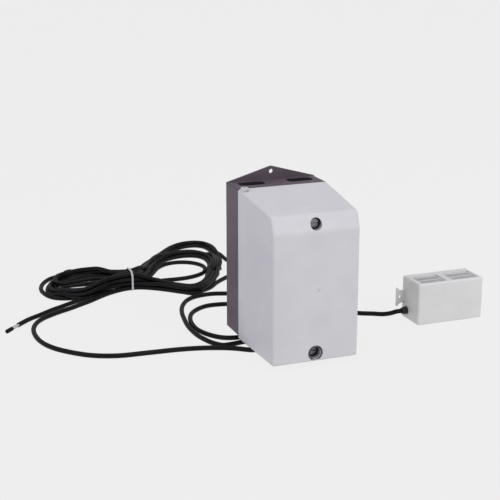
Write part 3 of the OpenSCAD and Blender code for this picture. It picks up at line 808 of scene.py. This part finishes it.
def settle(drawn, rounds):
    # touching strands push apart, sag and stay smooth and near their drawn place
    s = settleSettings
    p = drawn.copy()
    held = np.zeros(len(p), bool)
    held[: s["heldStart"]] = True
    held[-s["heldEnd"] :] = True
    free = np.clip((np.abs(p[:, 0] - cordSettings["tie"]) - s["freeFrom"]) / s["freeOver"], 0, 1)
    for _ in range(rounds):
        pairs = closePairs(p)
        way = p[pairs[:, 1]] - p[pairs[:, 0]]
        length = np.linalg.norm(way, axis=1) + 1e-9
        move = way * ((s["gap"] - length) / 2 / length)[:, None]
        push = np.zeros_like(p)
        count = np.zeros(len(p))
        np.add.at(push, pairs[:, 0], -move)
        np.add.at(push, pairs[:, 1], move)
        np.add.at(count, pairs.ravel(), 1)
        q = p + push / np.sqrt(np.maximum(count, 1))[:, None] * s["push"]
        q[:, 2] -= s["sag"] * free
        for _ in range(s["smoothings"]):
            bend = np.zeros_like(q)
            bend[2:-2] = (4 * (q[1:-3] + q[3:-1]) - q[:-4] - q[4:]) / 6 - q[2:-2]
            q += bend * s["smooth"]
        q[:, :2] += (drawn[:, :2] - q[:, :2]) * s["keep"]
        q[:, 2] += (drawn[:, 2] - q[:, 2]) * s["keep"] * (1 - free)
        insideTie(q)
        q[:, 2] = np.maximum(q[:, 2], cordSettings["floor"])
        q[held] = drawn[held]
        p = q
    return p


def cordCurve(name, points):
    data = bpy.data.curves.new(name, "CURVE")
    data.dimensions = "3D"
    data.bevel_depth = cordSettings["radius"] * mm
    data.bevel_resolution = 4
    data.use_fill_caps = True
    strand = data.splines.new("POLY")
    strand.points.add(len(points) - 1)
    strand.points.foreach_set("co", np.hstack([points * mm, np.ones((len(points), 1))]).ravel())
    strand.use_smooth = True
    return newObject(name, data)


def lengthOf(points):
    return float(np.linalg.norm(np.diff(points, axis=0), axis=1).sum()) * mm


settled = settle(drawnSupply(), settleSettings["rounds"])
supplyPoints = [tuple(q) for q in (*settled[:-1:2], settled[-1])]
supplyLine = evenly(throughPoints(supplyPoints, 6), cordSettings["step"])
supplyCord = cordCurve("supplyCord", supplyLine)
finishPiece(supplyCord, "root", "cord_black", ("supply_lead", "supply_hank", "supply_tail"))
sensorLine = evenly(throughPoints(sensorRoute), cordSettings["step"])
sensorCord = cordCurve("sensorCord", sensorLine)
finishPiece(sensorCord, "root", "cord_black", ("sensor_cord",))
print("cords laid:", round(lengthOf(supplyLine), 3), "m and", round(lengthOf(sensorLine), 3), "m")


# front cover
# rear, face, front, floor and shank are places in depth; base, top, band, screws and lugs are heights
# the sides come in by the draft's first number over its third, from a depth of its second
coverSettings = {
    "half": 62.5,
    "draft": (4, 40, 110),
    "rear": 39.7,
    "face": -70,
    "base": 7,
    "top": 211,
    "roof": (-61, 197),
    "band": 176,
    "edge": 3,
    "wall": 2.5,
    "front": -80,
    "screws": (185, 18),
    "recess": 7.75,
    "recessWall": 2.4,
    "floor": -54,
    "shank": (-60, -45, 2.55),
    "hinge": (-56, 33),
    "lugs": ((203.8, 214), (7, 13)),
    "lugRadius": 5,
    "pinHoles": ((202, 215), (5, 14)),
    "pinRadius": 1.55,
    "gate": (3, 101, 2),
    "gateDepth": (-72, -69.7),
}


def coverForm(name, closed):
    # side profile from the rear rim round the bottom, face, band and roof
    s = coverSettings
    rear, face, base = s["rear"], s["face"], s["base"]
    profile = [(rear, base), (face, base), (face, s["band"]), s["roof"], (rear, s["top"])]
    inward, wideY, depth = s["draft"]
    build = bmesh.new()
    sides = []
    for sign in (-1, 1):
        corners = [(sign * (s["half"] - inward * (wideY - y) / depth), y, z) for y, z in profile]
        sides.append([build.verts.new(Vector(corner) * mm) for corner in corners])
    build.faces.new(sides[0])
    build.faces.new(sides[1][::-1])
    for i in range(len(profile) - 1):
        build.faces.new([sides[0][i + 1], sides[0][i], sides[1][i], sides[1][i + 1]])
    if closed:
        build.faces.new([sides[0][0], sides[0][-1], sides[1][-1], sides[1][0]])
    roundEdges(build, rear * mm - 1e-5, s["edge"])
    return fromBmesh(name, build)


def buildCover():
    s = coverSettings
    shell = thicken(coverForm("frontCover", False), s["wall"])
    front, floor = s["front"], s["floor"]
    for z in s["screws"]:
        boss = rod("boss", (0, front, z), (0, floor + 3, z), s["recess"] + s["recessWall"], 64)
        combine(boss, coverForm("form", True), "INTERSECT")
        combine(shell, boss, "UNION")
    x, y = s["hinge"]
    for low, high in s["lugs"]:
        combine(shell, rod("lug", (x, y, low), (x, y, high), s["lugRadius"], 40), "UNION")
    start, end, radius = s["shank"]
    for z in s["screws"]:
        combine(shell, rod("recess", (0, front, z), (0, floor, z), s["recess"], 64), "DIFFERENCE")
        combine(shell, rod("shank", (0, start, z), (0, end, z), radius, 32), "DIFFERENCE")
    for low, high in s["pinHoles"]:
        combine(shell, rod("pinHole", (x, y, low), (x, y, high), s["pinRadius"], 24), "DIFFERENCE")
    x, z, radius = s["gate"]
    start, end = s["gateDepth"]
    combine(shell, rod("gate", (x, start, z), (x, end, z), radius, 32), "DIFFERENCE")
    return soften(shell, 0.45, 3, 32)


finishPiece(buildCover(), "cover", "cover_grey", ("front_cover",))
print("front cover built")


# rear housing
housingSettings = {"edge": 0.5, "plugEdge": 0.25}
housing = copyNode("housing_walls", "rearHousing")
combine(housing, copyNode("rear_housing", "back"), "UNION")
soften(housing, housingSettings["edge"], 2, 40)
finishPiece(housing, "root", "housing_dark", ("housing_walls", "rear_housing"))
finishNode("cable_sill", "cableSill", housingSettings["edge"], "root", "housing_dark")
finishNode("entry_plugs", "entryPlugs", housingSettings["plugEdge"], "root", "rubber_black")
print("rear housing built")

# cover screws
screwSettings = {"edge": 0.35, "segments": 3}
for place in ("upper", "lower"):
    node, name, body = f"cover_screw_{place}", f"coverScrew_{place}", f"{place}_screw"
    finishNode(node, name, screwSettings["edge"], body, "zinc_steel", screwSettings["segments"])
print("cover screws built")

# remote sensor
# ranges of x for vents and slits; each cut is given by its ranges of y and z
sensorSettings = {
    "low": (194, 17, 0),
    "high": (296, 57, 60),
    "edge": 3.2,
    "wall": 2,
    "vents": ((201, 240), (249, 290)),
    "ventCut": ((21, 52), (56, 61)),
    "well": ((19.5, 53.5), (56.5, 59)),
    "wellMargin": 1.5,
    "slits": ((200, 222), (226, 242), (254, 274)),
    "slitCut": ((15, 18.4), (-1, 1.1)),
    "entry": ((192, 50, 13), (198, 50, 13), 4.05),
}


def across(name, x0, x1, ranges):
    (y0, y1), (z0, z1) = ranges
    return brick(name, (x0, y0, z0), (x1, y1, z1))


def buildSensorCase():
    s = sensorSettings
    case = brick("sensorCase", s["low"], s["high"])
    build = bmesh.new()
    build.from_mesh(case.data)
    rim = s["high"][1] * mm - 1e-5
    rear = [face for face in build.faces if all(vert.co.y > rim for vert in face.verts)]
    bmesh.ops.delete(build, geom=rear, context="FACES")
    roundEdges(build, rim, s["edge"])
    build.to_mesh(case.data)
    build.free()
    thicken(case, s["wall"])
    margin = s["wellMargin"]
    for x0, x1 in s["vents"]:
        combine(case, across("well", x0 - margin, x1 + margin, s["well"]), "UNION")
        combine(case, across("vent", x0, x1, s["ventCut"]), "DIFFERENCE")
    for x0, x1 in s["slits"]:
        combine(case, across("slit", x0, x1, s["slitCut"]), "DIFFERENCE")
    start, end, radius = s["entry"]
    combine(case, rod("entry", start, end, radius, 32), "DIFFERENCE")
    return soften(case, 0.35, 2, 32)


finishPiece(buildSensorCase(), "root", "sensor_grey", ("sensor_case",))
for node, name, edge, slot in (
    ("sensor_back", "sensorBack", 0.6, "sensor_grey"),
    ("sensor_grilles", "sensorGrilles", 0.2, "grille_grey"),
    ("sensor_gland", "sensorGland", 0.5, "gland_black"),
):
    finishNode(node, name, edge, "root", slot)
print("remote sensor built")

# tie and stripped end
# inner is the range of y and of z inside the strap; corners go far top, near top, near base, far base
tieSettings = {
    "x": (-132.4, -129.4),
    "inner": (310.7, 339.3, 1.2, 29.5),
    "thick": 1.2,
    "sink": 0.05,
    "corners": (6, 9, 3.5, 3.5),
}


def roundedLoop(low, high, base, top, corners, steps=8):
    points = []
    places = ((high, top, 0), (low, top, 90), (low, base, 180), (high, base, 270))
    for (cy, cz, start), corner in zip(places, corners):
        inY = cy - corner if cy == high else cy + corner
        inZ = cz - corner if cz == top else cz + corner
        for i in range(steps + 1):
            a = math.radians(start + 90 * i / steps)
            points.append((inY + corner * math.cos(a), inZ + corner * math.sin(a)))
    return points


def buildTie():
    s = tieSettings
    low, high, base, top = s["inner"]
    t = s["thick"]
    inner = roundedLoop(low, high, base, top, s["corners"])
    outerCorners = [corner + t for corner in s["corners"]]
    outer = roundedLoop(low - t, high + t, base - t + s["sink"], top + t, outerCorners)
    build = bmesh.new()
    rings = []
    x0, x1 = s["x"]
    for x, loop in ((x0, inner), (x0, outer), (x1, outer), (x1, inner)):
        rings.append([build.verts.new(Vector((x, y, z)) * mm) for y, z in loop])
    for a, b in zip(rings, rings[1:] + rings[:1]):
        for i in range(len(a)):
            j = (i + 1) % len(a)
            build.faces.new([a[i], a[j], b[j], b[i]])
    return soften(fromBmesh("hankTie", build), 0.35, 2, 40)


tie = finishPiece(buildTie(), "root", "tie_grey", ("hank_tie",))
cores = finishNode("stripped_cores", "strippedCores", 0.15, "root", "core_grey")
sleeve = finishNode("core_sleeve", "coreSleeve", 0.4, "root", "cord_black", 3)
print("tie and cord ends built")

# floor and light
stageSettings = {
    "floor": "EEEEEE",
    "glow": 0.97,
    "size": 60,
    "sky": "F2F2F6",
    "skyPower": 0.55,
    "aim": (0, 0.1, 0.1),
}


def floorMaterial(s):
    material = bpy.data.materials.new("paperSweepMatt")
    tree = newTree(material)
    matt = addNode(tree, "ShaderNodeBsdfDiffuse", {"Color": colour(s["floor"])})
    glow = addNode(tree, "ShaderNodeEmission", {"Color": colour(s["floor"]), "Strength": 1.0})
    both = addNode(tree, "ShaderNodeMixShader", {0: s["glow"]}, {1: matt.outputs[0], 2: glow.outputs[0]})
    addNode(tree, "ShaderNodeOutputMaterial", None, {"Surface": both.outputs[0]})
    return material


build = bmesh.new()
bmesh.ops.create_grid(build, x_segments=1, y_segments=1, size=stageSettings["size"] / 2)
floor = fromBmesh("floor", build)
floor.data.materials.append(floorMaterial(stageSettings))

world = bpy.data.worlds.new("studio")
skyTree = newTree(world)
skySettings = {"Color": colour(stageSettings["sky"]), "Strength": stageSettings["skyPower"]}
sky = addNode(skyTree, "ShaderNodeBackground", skySettings)
addNode(skyTree, "ShaderNodeOutputWorld", None, {"Surface": sky.outputs[0]})
bpy.context.scene.world = world

lightSettings = (
    {"name": "keySoft", "place": (0.9, -1.9, 1.5), "size": 1.6, "power": 26, "tint": "FFFFFF"},
    {"name": "topSoft", "place": (-0.1, 0.2, 2.2), "size": 2.0, "power": 15, "tint": "FFFFFF"},
    {"name": "sideSoft", "place": (-1.9, -0.6, 1.0), "size": 1.4, "power": 9, "tint": "E4DCFF"},
)
for s in lightSettings:
    data = bpy.data.lights.new(s["name"], "AREA")
    data.size = s["size"]
    data.energy = s["power"]
    data.color = colour(s["tint"])[:3]
    lamp = bpy.data.objects.new(s["name"], data)
    lamp.location = s["place"]
    aim = Vector(stageSettings["aim"]) - Vector(s["place"])
    lamp.rotation_euler = aim.to_track_quat("-Z", "Y").to_euler()
    bpy.context.scene.collection.objects.link(lamp)
bpy.context.scene.view_settings.view_transform = "Standard"
print("floor and lights placed")
